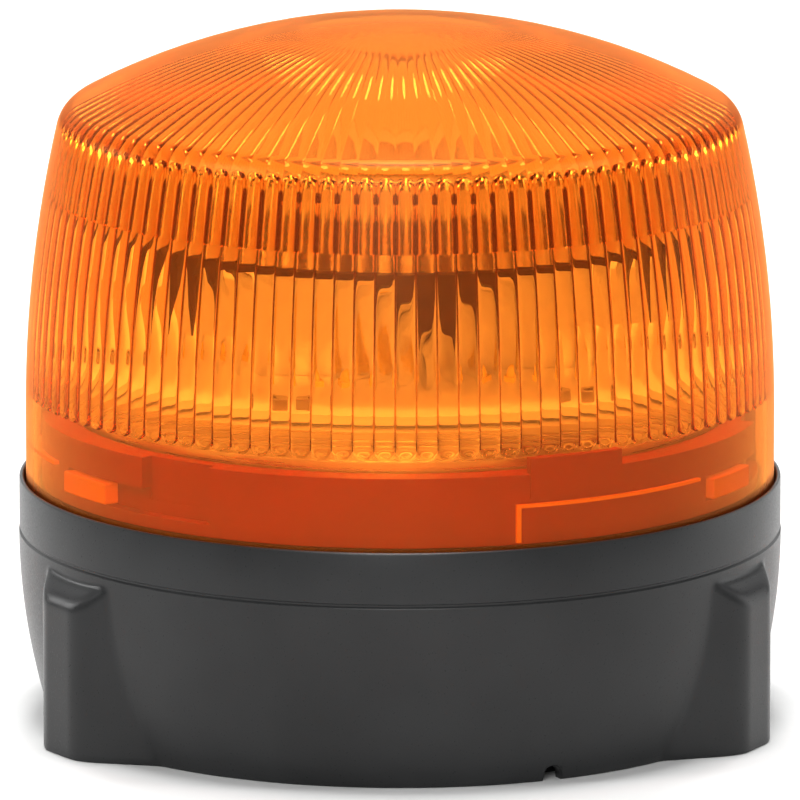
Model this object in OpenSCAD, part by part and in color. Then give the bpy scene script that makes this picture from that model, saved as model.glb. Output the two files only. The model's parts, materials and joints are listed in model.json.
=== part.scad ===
// Low amber warning beacon: a fluted dome lens with a bayonet twist lock, on a black three-bolt base.
// Millimetres, +Z up. The origin is the centre of the bolt circle on the mounting plane.
// The front faces -Y, with one lug straight behind and two at 60 degrees each side of the front.

/* [Mounting] */
// Diameter of the bolt circle
bolt_circle_d = 130; // [128:1:132]
// Bore radius of each threaded insert
insert_bore_r = 2.55; // [2.1:0.05:3]
// Length of each threaded insert
insert_len = 14; // [10:1:20]
// Bore radius of the cable grommet
cable_bore_r = 3.25; // [2.5:0.05:4]

/* [Base] */
// Radius of the skirt at the parting line, its widest
skirt_r = 72.5; // [72.4:0.1:73]
// Radius of the arc that the skirt follows down to the mounting plane
skirt_arc_r = 118; // [110:1:130]
// Height of the parting line above the mounting plane
parting_z = 35.6; // [35:0.1:37]
// Height of the rim that the lens stands in
rim_z = 45.8; // [45:0.1:47]
// Outer radius of the rim
rim_r = 72.4; // [72.3:0.1:72.8]
// Radius of each lug's nose
lug_nose_r = 11.5; // [10.5:0.1:12]
// Distance from the axis to the centre of each lug's nose
lug_centre = 64.5; // [63.5:0.1:65]
// Height of each lug at its nose, where its sloping top starts
lug_z = 29.5; // [26:0.5:31]
// Direction of the drain notch, from the front towards +X
drain_turn = 22.5; // [0:0.5:30]

/* [Lens] */
// Outer radius of the lens where it stands in the rim
lens_r = 71.1; // [71:0.1:71.2]
// Wall thickness of the lens
lens_wall = 2; // [1.8:0.1:2.2]
// Height of the top of the dome
lens_top_z = 133; // [131:0.5:135]
// Radius of the cap at the top of the dome
cap_sphere_r = 130; // [120:1:140]
// Radius of the long arc up the lens's side
side_arc_r = 247.5; // [240:0.5:260]
// Radius of the shoulder between side and cap
shoulder_r = 7; // [5:0.5:9]
// Turn from locked to unlocked, degrees
unlock_turn = 20; // [10:1:22]

/* [Light source] */
// Radius of the reflector
reflector_r = 50; // [47:0.5:52]
// Height of the reflector's top plate
reflector_top_z = 94; // [92:0.5:97]
// Radius of each round reflecting scoop
scoop_r = 27.5; // [27:0.1:28]
// Distance from the axis to the centre of each scoop
scoop_centre = 49; // [48.5:0.1:49.5]
// Distance from the axis to each emitter
led_at = 31; // [28:0.5:34]
// Direction of the first ridge between scoops, from the front towards +X
ridge_turn = 5.5; // [0:0.5:30]
// Radius of the turned heat sink
sink_r = 62; // [61:0.1:63]

/* [Hidden] */
$fn = 96;
eps = 0.01;
embed = 1; // how far a cut runs past a face, and how far joined solids overlap
front = -90;
arc_steps = 14;

// Threaded inserts
insert_outer_r = 4.2;
insert_slack = 0.03;
insert_groove = 0.4;

// Base housing
base_wall = 2.5;
lug_count = 3;
lug_first = 90;
lug_flank = 42;
lug_root = 58;
lug_top_z = 34;
rim_lip = 0.9;
rim_chamfer = 0.3;
parting_groove = 0.5;
parting_depth = 0.35;
groove_floor_z = 42;
deck_t = 2.5;
chamber_r = 58;
chamber_wall = 2.5;
gasket_t = 3;
gasket_lap = 1.5;
gasket_gap = 0.1;
rib_t = 1.6;
rib_z = 6;
rib_turns = [30, 50, 70, 90];
drain_w = 3.8;
drain_h = 2.7;

// Bayonet ring: a collar inside the lens, with a ledge that holds the heat sink
collar_in_r = 63;
collar_out_r = 68;
collar_z = 59;
ledge_in_r = 51;
ledge_z = 57;
ledge_t = 2.5;
block_turn = 26;
block_half = 8;
block_z = 54.5;
block_top_z = 62;
block_proud = 0.4;
block_inset = 3.3;
ring_screw_at = 65.3;
ring_screw_turns = [40, 80];
ring_screw_bite = 5;

// Bayonet
tab_z = 48.7;
tab_h = 4;
tab_half = 6;
tab_in_r = 66.2;
tab_gap = 0.4;
tab_gap_turn = 0.6;
tab_turn = 60;
slot_floor_r = 65.8;
slot_mouth_floor_r = 65.6;
lens_lift = 0.3;
ledge_rib_z = 53;
ledge_rib_h = 0.6;
ledge_rib_t = 0.75;
ledge_rib_turn = 15.5;
ledge_rib_span = 35;
ledge_rib_end = 0.7;
ledge_rib_low_z = 46.5;
seal_ring_r = 0.9;
seal_ring_at = 67.9;
seal_ring_z = 45;
seal_ring_slack = 0.05;
lens_side_z = 58;

// Bottom cover
cover_z = 8;
cover_t = 2.5;
cover_slack = 0.4;
cover_seal_t = 1.5;
cover_seal_w = 2.5;
cover_screw_at = 50.8;
cover_screw_count = 6;
cover_screw_len = 12;
cover_boss_r = 3.6;
cover_boss_h = 14;
cover_boss_lift = 0.5;
cover_lip_t = 2;
cover_lip_in_r = 54.8;
grommet_neck_r = 7;
grommet_flange_r = 9.5;
grommet_out_t = 2.5;
grommet_in_t = 1.5;
grommet_in_r = 8.4;
guard_in_r = 11.5;
guard_t = 1.5;
guard_h = 1;
vent_at = 30;
vent_r = 4;
vent_cap_r = 6;
vent_cap_t = 1.6;
vent_holes = 4;
vent_hole_r = 0.5;

// Driver board, hung under the heat sink
driver_z = 30;
driver_t = 1.6;
driver_r = 46;
spacer_at = 40;
spacer_r = 3;
spacer_first = 45;
spacer_count = 4;

// Screw sizes: radius of the shank, radius and height of the head
screw_r = 1.45;
screw_head_r = 2.7;
screw_head_h = 2;
screw_hole_r = 1.7;
screw_bite = 6;
screw_short = 1;
hex_socket_r = 1.4;
hex_socket_t = 1.1;

// Heat sink, board and reflector
sink_top_z = 66.5;
sink_screw_at = 55;
sink_screw_first = -30;
fin_z = 48;
fin_t = 1.6;
fin_pitch = 7;
fin_pairs = 6;
fin_r = 49;
fin_well_r = 10;
fin_relief_r = 5;
lead_hole_r = 4.5;
turned_count = 5;
turned_r = 0.25;
turned_z = 61;
turned_pitch = 1;
pad_t = 0.5;
pad_r = 57;
led_board_r = 58;
led_board_t = 1.6;
led_count = 6;
led_side = 5;
led_t = 1;
led_dome_r = 2;
board_screw_at = 54;
plate_t = 2.5;
hub_hollow_r = 12;
hub_hollow_h = 21;
reflector_screw_at = 16.5;
reflector_screw_bite = 6;
screw_short = 1;
cap_r = 25;
cap_h = 11;
cap_wall = 1.5;
cap_bevel = 2;
cap_plug_h = 4;
cap_plug_slack = 0.1;

// Parts on the driver board
core_r = 3.2;
core_ring = 9;
core_pos = [-24, 4];
wire_r = 0.5;
turn_count = 20;
capacitor_r = 5;
capacitor_h = 12;
capacitor_places = [[6, 26], [-7, 26]];
vent_score_w = 0.5;
vent_score_depth = 0.3;
transistor_size = [6.5, 6, 2.3];
transistor_tab = [5.2, 2, 0.8];
transistor_places = [[-8, -22], [2, -22], [12, -22]];
chip_size = [10, 6, 1.8];
chip_pos = [24, 12];
chip_leg = [0.5, 1.4, 0.6];
chip_legs = 7;
chip_leg_pitch = 1.27;
terminal_size = [20, 10, 11];
terminal_pos = [0, -26];
terminal_pitch = 6;
terminal_poles = 3;
terminal_port = 4;
terminal_port_depth = 6;
terminal_screw_r = 1.9;
terminal_screw_in = 1;
terminal_screw_h = 6;
terminal_screw_inset = 1;
terminal_screw_gap = 0.03;
terminal_slot = 0.6;
slot_depth = 1;
selector_side = 10;
selector_h = 4.8;
selector_pos = [24, -16];
rotor_r = 3;
rotor_gap = 0.05;
rotor_h = 3;
rotor_slot = 0.8;
rotor_slot_len = 4.5;
end_gap = 0.3;
header_size = [5, 8, 5];
header_pos = [8, 0];
plug_size = [3.6, 6.6, 7];
plug_lift = 2.4;
lamp_connector_size = [5, 6, 4.4];
lamp_connector_x = 7.5;

// Leads from the driver board up to the lamp board, each at its own distance from the XZ plane
lead_r = 0.8;
lead_sides = 8;
lead_y = 1.5;
lead_route = [
    [8, 41], [8, 43], [7, 46], [5, 49], [3, 52], [1, 55], [0, 58], [0, 62], [0, 66],
    [0, 70], [0, 73], [0.5, 76], [2, 78], [4, 79], [6, 78], [7.5, 76], [7.5, 73]
];

// Heights that follow from the stack
cover_top_z = cover_z + cover_t;
cover_ledge_z = cover_top_z + cover_seal_t;
driver_top_z = driver_z + driver_t;
pad_z = sink_top_z;
led_board_z = pad_z + pad_t;
led_board_top_z = led_board_z + led_board_t;
plate_z = reflector_top_z - plate_t;
cap_z = reflector_top_z;
groove_out_r = rim_r - rim_lip;
core_z = driver_top_z + core_r + 3 * wire_r;
selector_low_z = driver_z - selector_h;
bolt_r = bolt_circle_d / 2;
scoop_turn = ridge_turn + 180 / led_count;
lens_low_z = groove_floor_z + lens_lift;
lens_in_r = lens_r - lens_wall;
side_centre = [lens_r - side_arc_r, lens_side_z];
cap_centre = [0, lens_top_z - cap_sphere_r];
skirt_centre = [skirt_r - skirt_arc_r, parting_z];

// Centre of the shoulder's arc, which touches the side arc and the cap arc from inside
shoulder_gap = cap_centre - side_centre;
shoulder_gap_len = norm(shoulder_gap);
shoulder_side = side_arc_r - shoulder_r;
shoulder_cap = cap_sphere_r - shoulder_r;
shoulder_angle = acos((shoulder_side ^ 2 + shoulder_gap_len ^ 2 - shoulder_cap ^ 2)
    / (2 * shoulder_side * shoulder_gap_len));
shoulder_heading = atan2(shoulder_gap[1], shoulder_gap[0]) + shoulder_angle;
shoulder_centre = side_centre + shoulder_side * heading(shoulder_heading);
cap_heading = heading_of(shoulder_centre - cap_centre);

function heading(a) = [cos(a), sin(a)];
function heading_of(v) = atan2(v[1], v[0]);

// Points along an arc from angle a to angle b
function arc(centre, r, a, b, steps = arc_steps) =
    [for (i = [0 : steps]) centre + r * heading(a + (b - a) * i / steps)];

// Outline of the dome at an inward distance from its outer face, from the rim up to the axis
function dome_outline(inward) = concat(
    arc(side_centre, side_arc_r - inward, 0, shoulder_heading),
    arc(shoulder_centre, shoulder_r - inward, shoulder_heading, cap_heading, 6),
    arc(cap_centre, cap_sphere_r - inward, cap_heading, 90)
);

// Outline of the skirt's curve at an inward distance, from the mounting plane up
function skirt_outline(inward) =
    arc(skirt_centre, skirt_arc_r - inward, -asin(parting_z / (skirt_arc_r - inward)), 0);

// Places children at a distance from the axis, turned from the front towards +X
module at_turn(turn, distance, z = 0) {
    rotate([0, 0, front + turn]) translate([distance, 0, z]) children();
}

// Places children evenly round the axis
module around(count, first, distance, z = 0) {
    for (i = [0 : count - 1]) rotate([0, 0, first + 360 * i / count])
        translate([distance, 0, z]) children();
}

// A ring between two radii and two heights
module ring(inner, outer, low, high) {
    rotate_extrude() translate([inner, low]) square([outer - inner, high - low]);
}

// Part of a ring, from one turn to another
module ring_part(inner, outer, low, high, from, to) {
    rotate([0, 0, front + from]) rotate_extrude(angle = to - from)
        translate([inner, low]) square([outer - inner, high - low]);
}

module disc(r, low, high) {
    translate([0, 0, low]) cylinder(r = r, h = high - low);
}

// A block centred on a place, standing on a height
module block(size, place, z) {
    translate([place[0] - size[0] / 2, place[1] - size[1] / 2, z]) cube(size);
}

// A socket-head screw pointing up, with its head below the origin plane
module screw(length) {
    difference() {
        union() {
            cylinder(r = screw_r, h = length, $fn = 32);
            translate([0, 0, -screw_head_h]) cylinder(r = screw_head_r, h = screw_head_h, $fn = 32);
        }
        translate([0, 0, -screw_head_h - eps]) cylinder(r = hex_socket_r, h = hex_socket_t + eps, $fn = 6);
    }
}

// The same screw pointing down, with its head above the origin plane
module screw_down(length) {
    mirror([0, 0, 1]) screw(length);
}

module drill(r, low, high) {
    translate([0, 0, low]) cylinder(r = r, h = high - low, $fn = 32);
}

// A lug's plan: a round nose with two straight flanks running back into the base
module lug_plan() {
    turn = 90 - lug_flank;
    flank = [lug_centre, 0] + lug_nose_r * heading(turn);
    root_v = flank[1] + (flank[0] - lug_root) * tan(lug_flank);
    nose = arc([lug_centre, 0], lug_nose_r, -turn, turn, 24);
    polygon(concat([[lug_root, -root_v]], nose, [[lug_root, root_v]]));
}

// A lug: its plan carried up, with a top that slopes up at 45 degrees into the skirt
module lug() {
    nose = lug_centre + lug_nose_r;
    difference() {
        intersection() {
            linear_extrude(height = lug_top_z + embed) lug_plan();
            rotate([90, 0, 0]) translate([0, 0, -nose]) linear_extrude(height = 2 * nose) polygon([
                [0, -embed], [nose + embed, -embed], [nose + embed, lug_z - embed],
                [nose + lug_z - lug_top_z, lug_top_z], [0, lug_top_z]
            ]);
        }
        disc(chamber_r + chamber_wall / 2, -embed, lug_top_z + embed);
        disc(chamber_r + chamber_wall + gasket_gap, -embed, gasket_t + 2 * gasket_gap);
    }
}

function reversed(list) = [for (i = [len(list) - 1 : -1 : 0]) list[i]];

// Everything inside the middle of the skirt's wall, up to the middle of the deck
module skirt_filled() {
    middle = skirt_r - base_wall / 2;
    deck_middle = groove_floor_z - deck_t / 2;
    rotate_extrude()
        polygon(concat([[0, 0]], skirt_outline(base_wall / 2), [[middle, deck_middle], [0, deck_middle]]));
}

// The turned section of the housing: skirt, rim, deck and chamber wall
module housing_section() {
    chamber_out_r = chamber_r + chamber_wall;
    deck_low_z = groove_floor_z - deck_t;
    groove_r = skirt_r - parting_depth;
    polygon(concat(
        skirt_outline(0),
        [
            [groove_r, parting_z], [groove_r, parting_z + parting_groove],
            [rim_r, parting_z + parting_groove],
            [rim_r, rim_z - rim_chamfer], [rim_r - rim_chamfer, rim_z], [groove_out_r + rim_chamfer, rim_z],
            [groove_out_r, rim_z - rim_chamfer], [groove_out_r, groove_floor_z], [chamber_r, groove_floor_z],
            [chamber_r, cover_ledge_z + cover_lip_t], [cover_lip_in_r, cover_ledge_z + cover_lip_t],
            [cover_lip_in_r, cover_ledge_z], [chamber_r, cover_ledge_z], [chamber_r, gasket_t],
            [chamber_out_r, gasket_t], [chamber_out_r, deck_low_z], [skirt_r - base_wall, deck_low_z]
        ],
        reversed(skirt_outline(base_wall))
    ));
}

// The groove in the collar that one bayonet tab turns in, and its slightly deeper way in from above
module bayonet_slot() {
    low = tab_z - tab_gap;
    high = tab_z + tab_h + tab_gap;
    half = tab_half + tab_gap_turn;
    open_turn = tab_turn + unlock_turn;
    ring_part(slot_floor_r, collar_out_r + embed, low, high, tab_turn - half, open_turn + half);
    ring_part(slot_mouth_floor_r, collar_out_r + 2 * embed, (low + high) / 2, collar_z + embed,
        open_turn - half, open_turn + half - tab_gap_turn / 2);
}

// Three raised blocks on the collar's top edge
module collar_blocks() {
    for (i = [0 : lug_count - 1]) rotate([0, 0, 360 * i / lug_count])
        ring_part(collar_in_r + block_inset, collar_out_r + block_proud, block_z, block_top_z,
            block_turn - block_half, block_turn + block_half);
}

module bayonet_slots() {
    for (i = [0 : lug_count - 1]) rotate([0, 0, 360 * i / lug_count]) bayonet_slot();
}

module seal_groove() {
    rotate_extrude() translate([seal_ring_at, seal_ring_z])
        circle(r = seal_ring_r + seal_ring_slack, $fn = 32);
}

// Bosses that the bottom cover's screws bite into, each with a web to the chamber wall
module cover_bosses() {
    around(cover_screw_count, 0, cover_screw_at, cover_ledge_z + cover_boss_lift) {
        cylinder(r = cover_boss_r, h = cover_boss_h, $fn = 48);
        translate([0, -rib_t / 2, 0])
            cube([chamber_r + chamber_wall / 2 - cover_screw_at, rib_t, cover_boss_h]);
    }
}

// Ribs that tie the skirt to the chamber wall
module skirt_ribs() {
    intersection() {
        for (i = [0 : lug_count - 1]) for (turn = rib_turns)
            rotate([0, 0, lug_first + turn + 360 * i / lug_count])
                translate([chamber_r + chamber_wall / 2, -rib_t / 2, rib_z])
                    cube([skirt_r - chamber_r, rib_t, groove_floor_z]);
        skirt_filled();
    }
}

// A small round-topped notch in the skirt's bottom edge
module drain_notch() {
    r = drain_w / 2;
    at_turn(drain_turn, chamber_r + chamber_wall + embed) rotate([90, 0, 90])
        linear_extrude(height = lug_nose_r)
            polygon(concat([[r, -embed]], arc([0, drain_h - r], r, 0, 180, 12), [[-r, -embed]]));
}

module base_housing() {
    boss_top_z = cover_ledge_z + cover_boss_h;
    color([0.17, 0.17, 0.18]) difference() {
        union() {
            rotate_extrude() housing_section();
            cover_bosses();
            skirt_ribs();
            around(lug_count, lug_first, 0) lug();
        }
        at_ring_screws() drill(screw_hole_r, groove_floor_z - deck_t - embed, groove_floor_z + embed);
        around(lug_count, lug_first, bolt_r) drill(insert_outer_r + insert_slack, -embed, insert_len + embed);
        around(cover_screw_count, 0, cover_screw_at)
            drill(screw_r, cover_ledge_z - embed, boss_top_z - rib_t);
        drain_notch();
    }
}

// Places children at each screw that holds the bayonet ring down
module at_ring_screws(z = 0) {
    for (turn = ring_screw_turns) around(lug_count, lug_first + turn, ring_screw_at, z) children();
}

// The collar and the ledge inside it, turned as one section
module ring_section() {
    polygon([
        [collar_in_r, groove_floor_z], [collar_out_r, groove_floor_z], [collar_out_r, collar_z],
        [collar_in_r, collar_z], [collar_in_r, ledge_z], [ledge_in_r, ledge_z],
        [ledge_in_r, ledge_z - ledge_t], [collar_in_r, ledge_z - ledge_t]
    ]);
}

// The lens locks on this ring, which stands on the deck and carries the heat sink
module bayonet_ring() {
    color([0.55, 0.12, 0.08]) difference() {
        union() {
            rotate_extrude() ring_section();
            collar_blocks();
        }
        bayonet_slots();
        seal_groove();
        at_ring_screws() drill(screw_r, groove_floor_z - embed, groove_floor_z + ring_screw_bite);
        around(lug_count, sink_screw_first, sink_screw_at)
            drill(screw_hole_r, ledge_z - ledge_t - embed, ledge_z + embed);
    }
}

module ring_screws() {
    color([0.72, 0.72, 0.74]) at_ring_screws(groove_floor_z - deck_t) screw(deck_t + ring_screw_bite);
}

// Threaded inserts moulded into the lugs
module threaded_inserts() {
    color([0.78, 0.62, 0.3]) around(lug_count, lug_first, bolt_r) difference() {
        cylinder(r = insert_outer_r, h = insert_len, $fn = 48);
        for (k = [1 : 2])
            rotate_extrude($fn = 48) translate([insert_outer_r - insert_groove, k * insert_len / 3])
                square([2 * insert_groove, 2 * insert_groove]);
        drill(insert_bore_r, -embed, insert_len + embed);
    }
}

// Sealing ring between the chamber wall and whatever the light is bolted to
module mounting_gasket() {
    color([0.1, 0.1, 0.1])
        ring(chamber_r - gasket_lap, chamber_r + chamber_wall, 0, gasket_t);
}

module bottom_cover() {
    color([0.2, 0.2, 0.21]) difference() {
        union() {
            disc(chamber_r - cover_slack, cover_z, cover_top_z);
            ring(guard_in_r, guard_in_r + guard_t, cover_z - guard_h, cover_z + eps);
        }
        drill(grommet_neck_r, cover_z - guard_h - embed, cover_top_z + embed);
        around(cover_screw_count, 0, cover_screw_at) drill(screw_hole_r, cover_z - embed, cover_top_z + embed);
        at_turn(180, vent_at) drill(vent_r, cover_z - embed, cover_top_z + embed);
    }
}

module cover_seal() {
    color([0.12, 0.12, 0.12])
        ring(chamber_r - cover_slack - cover_seal_w, chamber_r - cover_slack, cover_top_z, cover_ledge_z);
}

module cover_screws() {
    color([0.72, 0.72, 0.74]) around(cover_screw_count, 0, cover_screw_at, cover_z) screw(cover_screw_len);
}

module cable_grommet() {
    color([0.08, 0.08, 0.08]) difference() {
        union() {
            disc(grommet_flange_r, cover_z - grommet_out_t, cover_z);
            disc(grommet_neck_r, cover_z - eps, cover_top_z + eps);
            disc(grommet_in_r, cover_top_z, cover_top_z + grommet_in_t);
        }
        drill(cable_bore_r, cover_z - grommet_out_t - embed, cover_top_z + grommet_in_t + embed);
    }
}

// Breather plug that lets the housing equalise without letting water in
module vent_plug() {
    color([0.3, 0.3, 0.32]) at_turn(180, vent_at) difference() {
        union() {
            disc(vent_r, cover_z - eps, cover_top_z + vent_cap_t);
            disc(vent_cap_r, cover_z - vent_cap_t, cover_z);
        }
        around(vent_holes, 0, vent_r / 2)
            drill(vent_hole_r, cover_z - vent_cap_t - embed, cover_top_z + vent_cap_t + embed);
    }
}

module driver_board() {
    color([0.1, 0.35, 0.16]) difference() {
        disc(driver_r, driver_z, driver_top_z);
        around(spacer_count, spacer_first, spacer_at) drill(screw_hole_r, driver_z - embed, driver_top_z + embed);
    }
}

module board_spacers() {
    color([0.8, 0.66, 0.35]) around(spacer_count, spacer_first, spacer_at, driver_top_z) difference() {
        cylinder(r = spacer_r, h = ledge_z - driver_top_z, $fn = 6);
        drill(screw_r, -embed, screw_bite + embed);
    }
}

module driver_screws() {
    color([0.72, 0.72, 0.74]) around(spacer_count, spacer_first, spacer_at, driver_z) screw(screw_bite);
}

module inductor_core() {
    color([0.35, 0.36, 0.34]) translate([core_pos[0], core_pos[1], core_z])
        rotate_extrude() translate([core_ring, 0]) circle(r = core_r, $fn = 32);
}

module inductor_winding() {
    color([0.72, 0.36, 0.16]) translate([core_pos[0], core_pos[1], core_z])
        around(turn_count, 0, core_ring) rotate([90, 0, 0])
            rotate_extrude($fn = 32) translate([core_r + wire_r + eps, 0]) circle(r = wire_r, $fn = 16);
}

module capacitors() {
    color([0.25, 0.28, 0.45]) for (place = capacitor_places)
        translate([place[0], place[1], driver_top_z]) difference() {
            cylinder(r = capacitor_r, h = capacitor_h, $fn = 48);
            for (a = [0, 90]) rotate([0, 0, a])
                translate([-capacitor_r / 2, -vent_score_w / 2, capacitor_h - vent_score_depth])
                    cube([capacitor_r, vent_score_w, embed]);
        }
}

module power_transistors() {
    color([0.12, 0.12, 0.13]) for (place = transistor_places) union() {
        block(transistor_size, place, driver_top_z);
        block(transistor_tab, [place[0], place[1] + transistor_size[1] / 2], driver_top_z);
    }
}

module controller_chip() {
    first = -chip_leg_pitch * (chip_legs - 1) / 2;
    color([0.1, 0.1, 0.11]) union() {
        block(chip_size, chip_pos, driver_top_z + chip_leg[2] / 2);
        for (i = [0 : chip_legs - 1]) for (side = [-1, 1])
            block(chip_leg, chip_pos + [first + i * chip_leg_pitch, side * chip_size[1] / 2], driver_top_z);
    }
}

// Where each pole of the terminal block lies
function pole_x(i) = terminal_pos[0] + (i - (terminal_poles - 1) / 2) * terminal_pitch;

module terminal_block() {
    low = driver_z - terminal_size[2];
    color([0.2, 0.5, 0.28]) difference() {
        block(terminal_size, terminal_pos, low);
        for (i = [0 : terminal_poles - 1]) {
            translate([pole_x(i), terminal_pos[1] + terminal_screw_in, 0])
                drill(terminal_screw_r, low - embed, low + terminal_screw_h);
            block([terminal_port, terminal_port_depth, terminal_port],
                [pole_x(i), terminal_pos[1] - terminal_size[1] / 2], low + terminal_screw_h);
        }
    }
}

module terminal_screws() {
    low = driver_z - terminal_size[2] + terminal_screw_inset;
    color([0.75, 0.75, 0.77]) for (i = [0 : terminal_poles - 1])
        translate([pole_x(i), terminal_pos[1] + terminal_screw_in, low]) difference() {
            cylinder(r = terminal_screw_r - terminal_screw_gap, h = terminal_screw_h - terminal_screw_inset, $fn = 32);
            translate([-terminal_screw_r, -terminal_slot / 2, -eps])
                cube([2 * terminal_screw_r, terminal_slot, slot_depth]);
        }
}

// Rotary switch that picks the flash pattern, reached with the bottom cover off
module selector_body() {
    color([0.15, 0.25, 0.5]) difference() {
        block([selector_side, selector_side, selector_h], selector_pos, selector_low_z);
        translate([selector_pos[0], selector_pos[1], 0])
            drill(rotor_r + rotor_gap, selector_low_z - embed, selector_low_z + rotor_h + end_gap);
    }
}

module selector_rotor() {
    color([0.9, 0.9, 0.88]) translate([selector_pos[0], selector_pos[1], selector_low_z]) difference() {
        cylinder(r = rotor_r, h = rotor_h, $fn = 32);
        translate([-rotor_slot_len / 2, -rotor_slot / 2, -eps]) cube([rotor_slot_len, rotor_slot, slot_depth]);
    }
}

// Turned aluminium heat sink: a thick plate with fins below it
module heat_sink() {
    color([0.8, 0.8, 0.82]) difference() {
        union() {
            disc(sink_r, ledge_z, sink_top_z);
            intersection() {
                for (i = [-fin_pairs : fin_pairs])
                    translate([-fin_r - embed, i * fin_pitch - fin_t / 2, fin_z - embed])
                        cube([2 * (fin_r + embed), fin_t, ledge_z - fin_z + 2 * embed]);
                disc(fin_r, fin_z, ledge_z + embed);
            }
        }
        for (i = [0 : turned_count - 1])
            rotate_extrude() translate([sink_r, turned_z + i * turned_pitch])
                circle(r = turned_r, $fn = 16);
        disc(fin_well_r, fin_z - embed, ledge_z);
        around(spacer_count, spacer_first, spacer_at) drill(fin_relief_r, fin_z - embed, ledge_z);
        drill(lead_hole_r, ledge_z - embed, sink_top_z + embed);
        around(lug_count, sink_screw_first, sink_screw_at)
            drill(screw_r, ledge_z - embed, ledge_z + screw_bite);
        around(led_count, front + scoop_turn, board_screw_at)
            drill(screw_r, sink_top_z - screw_bite, sink_top_z + embed);
        around(lug_count, front + ridge_turn, reflector_screw_at)
            drill(screw_r, sink_top_z - reflector_screw_bite, sink_top_z + embed);
    }
}

module heat_sink_screws() {
    color([0.72, 0.72, 0.74])
        around(lug_count, sink_screw_first, sink_screw_at, ledge_z - ledge_t)
            screw(ledge_t + screw_bite - screw_short);
}

// Holes that the thermal pad and the lamp board share
module board_holes() {
    drill(lead_hole_r, pad_z - embed, led_board_top_z + embed);
    around(led_count, front + scoop_turn, board_screw_at)
        drill(screw_hole_r, pad_z - embed, led_board_top_z + embed);
    around(lug_count, front + ridge_turn, reflector_screw_at)
        drill(screw_hole_r, pad_z - embed, led_board_top_z + embed);
}

module thermal_pad() {
    color([0.6, 0.65, 0.7]) difference() {
        disc(pad_r, pad_z, led_board_z);
        board_holes();
    }
}

module led_board() {
    color([0.92, 0.92, 0.9]) difference() {
        disc(led_board_r, led_board_z, led_board_top_z);
        board_holes();
    }
}

module led_emitters() {
    color([0.95, 0.8, 0.35]) around(led_count, front + scoop_turn, led_at, led_board_top_z) union() {
        block([led_side, led_side, led_t], [0, 0], 0);
        intersection() {
            translate([0, 0, led_t]) sphere(r = led_dome_r, $fn = 48);
            block([led_side, led_side, led_side], [0, 0], led_t / 2);
        }
    }
}

module board_screws() {
    color([0.3, 0.3, 0.32]) around(led_count, front + scoop_turn, board_screw_at, led_board_top_z)
        screw_down(led_board_t + pad_t + screw_bite - screw_short);
}

// One scoop: a round bowl centred at the lamp board's height, cut off under the top plate
module scoop() {
    intersection() {
        translate([scoop_centre, 0, led_board_top_z]) sphere(r = scoop_r);
        translate([0, -reflector_r, led_board_top_z - embed])
            cube([2 * reflector_r, 2 * reflector_r, plate_z - led_board_top_z + embed]);
    }
}

module reflector() {
    color([0.9, 0.9, 0.92]) difference() {
        disc(reflector_r, led_board_top_z, reflector_top_z);
        around(led_count, front + scoop_turn, 0) scoop();
        disc(hub_hollow_r, led_board_top_z - embed, led_board_top_z + hub_hollow_h);
        drill(hub_hollow_r - cap_wall, led_board_top_z, reflector_top_z + embed);
        around(lug_count, front + ridge_turn, reflector_screw_at) {
            drill(screw_hole_r, led_board_top_z - embed, reflector_top_z + embed);
            drill(screw_head_r + screw_hole_r - screw_r, plate_z - embed, reflector_top_z + embed);
        }
    }
}

module reflector_screws() {
    head_z = plate_z - embed;
    color([0.3, 0.3, 0.32]) around(lug_count, front + ridge_turn, reflector_screw_at, head_z)
        screw_down(head_z - sink_top_z + reflector_screw_bite - screw_short);
}

// Cap over the reflector's hub, with a hollow plug that fits the hub's bore
module reflector_cap() {
    plug_r = hub_hollow_r - cap_wall - cap_plug_slack;
    high = cap_z + cap_h;
    color([0.85, 0.85, 0.87]) union() {
        rotate_extrude() polygon([
            [cap_r, cap_z], [cap_r, high - cap_bevel], [cap_r - cap_bevel, high], [0, high],
            [0, high - cap_wall], [cap_r - cap_bevel, high - cap_wall],
            [cap_r - cap_wall, high - cap_bevel], [cap_r - cap_wall, cap_z]
        ]);
        ring(plug_r - cap_wall, plug_r, cap_z - cap_plug_h, high - cap_wall + eps);
    }
}

module lead_header() {
    socket = plug_size + [end_gap, end_gap, 0];
    color([0.93, 0.93, 0.9]) difference() {
        block(header_size, header_pos, driver_top_z);
        block(socket, header_pos, driver_top_z + plug_lift - end_gap);
    }
}

module lead_plug() {
    color([0.9, 0.88, 0.82]) block(plug_size, header_pos, driver_top_z + plug_lift);
}

module lamp_connector() {
    color([0.93, 0.93, 0.9]) block(lamp_connector_size, [lamp_connector_x, 0], led_board_top_z);
}

// A round lead swept along its route in a plane of constant y
module lead(y) {
    last = len(lead_route) - 1;
    rings = [for (i = [0 : last])
        let (ahead = lead_route[min(i + 1, last)] - lead_route[max(i - 1, 0)], along = ahead / norm(ahead))
        for (s = [0 : lead_sides - 1])
            let (a = 360 * s / lead_sides, out = lead_r * sin(a))
            [lead_route[i][0] - along[1] * out, y + lead_r * cos(a), lead_route[i][1] + along[0] * out]
    ];
    walls = [for (i = [0 : last - 1]) for (s = [0 : lead_sides - 1])
        let (next = (s + 1) % lead_sides, low = i * lead_sides, high = low + lead_sides)
        [low + s, low + next, high + next, high + s]
    ];
    start_face = [for (s = [lead_sides - 1 : -1 : 0]) s];
    end_face = [for (s = [0 : lead_sides - 1]) last * lead_sides + s];
    polyhedron(points = rings, faces = concat([start_face], walls, [end_face]), convexity = 6);
}

module lead_red() {
    color([0.75, 0.08, 0.06]) lead(lead_y);
}

module lead_black() {
    color([0.05, 0.05, 0.05]) lead(-lead_y);
}

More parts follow.
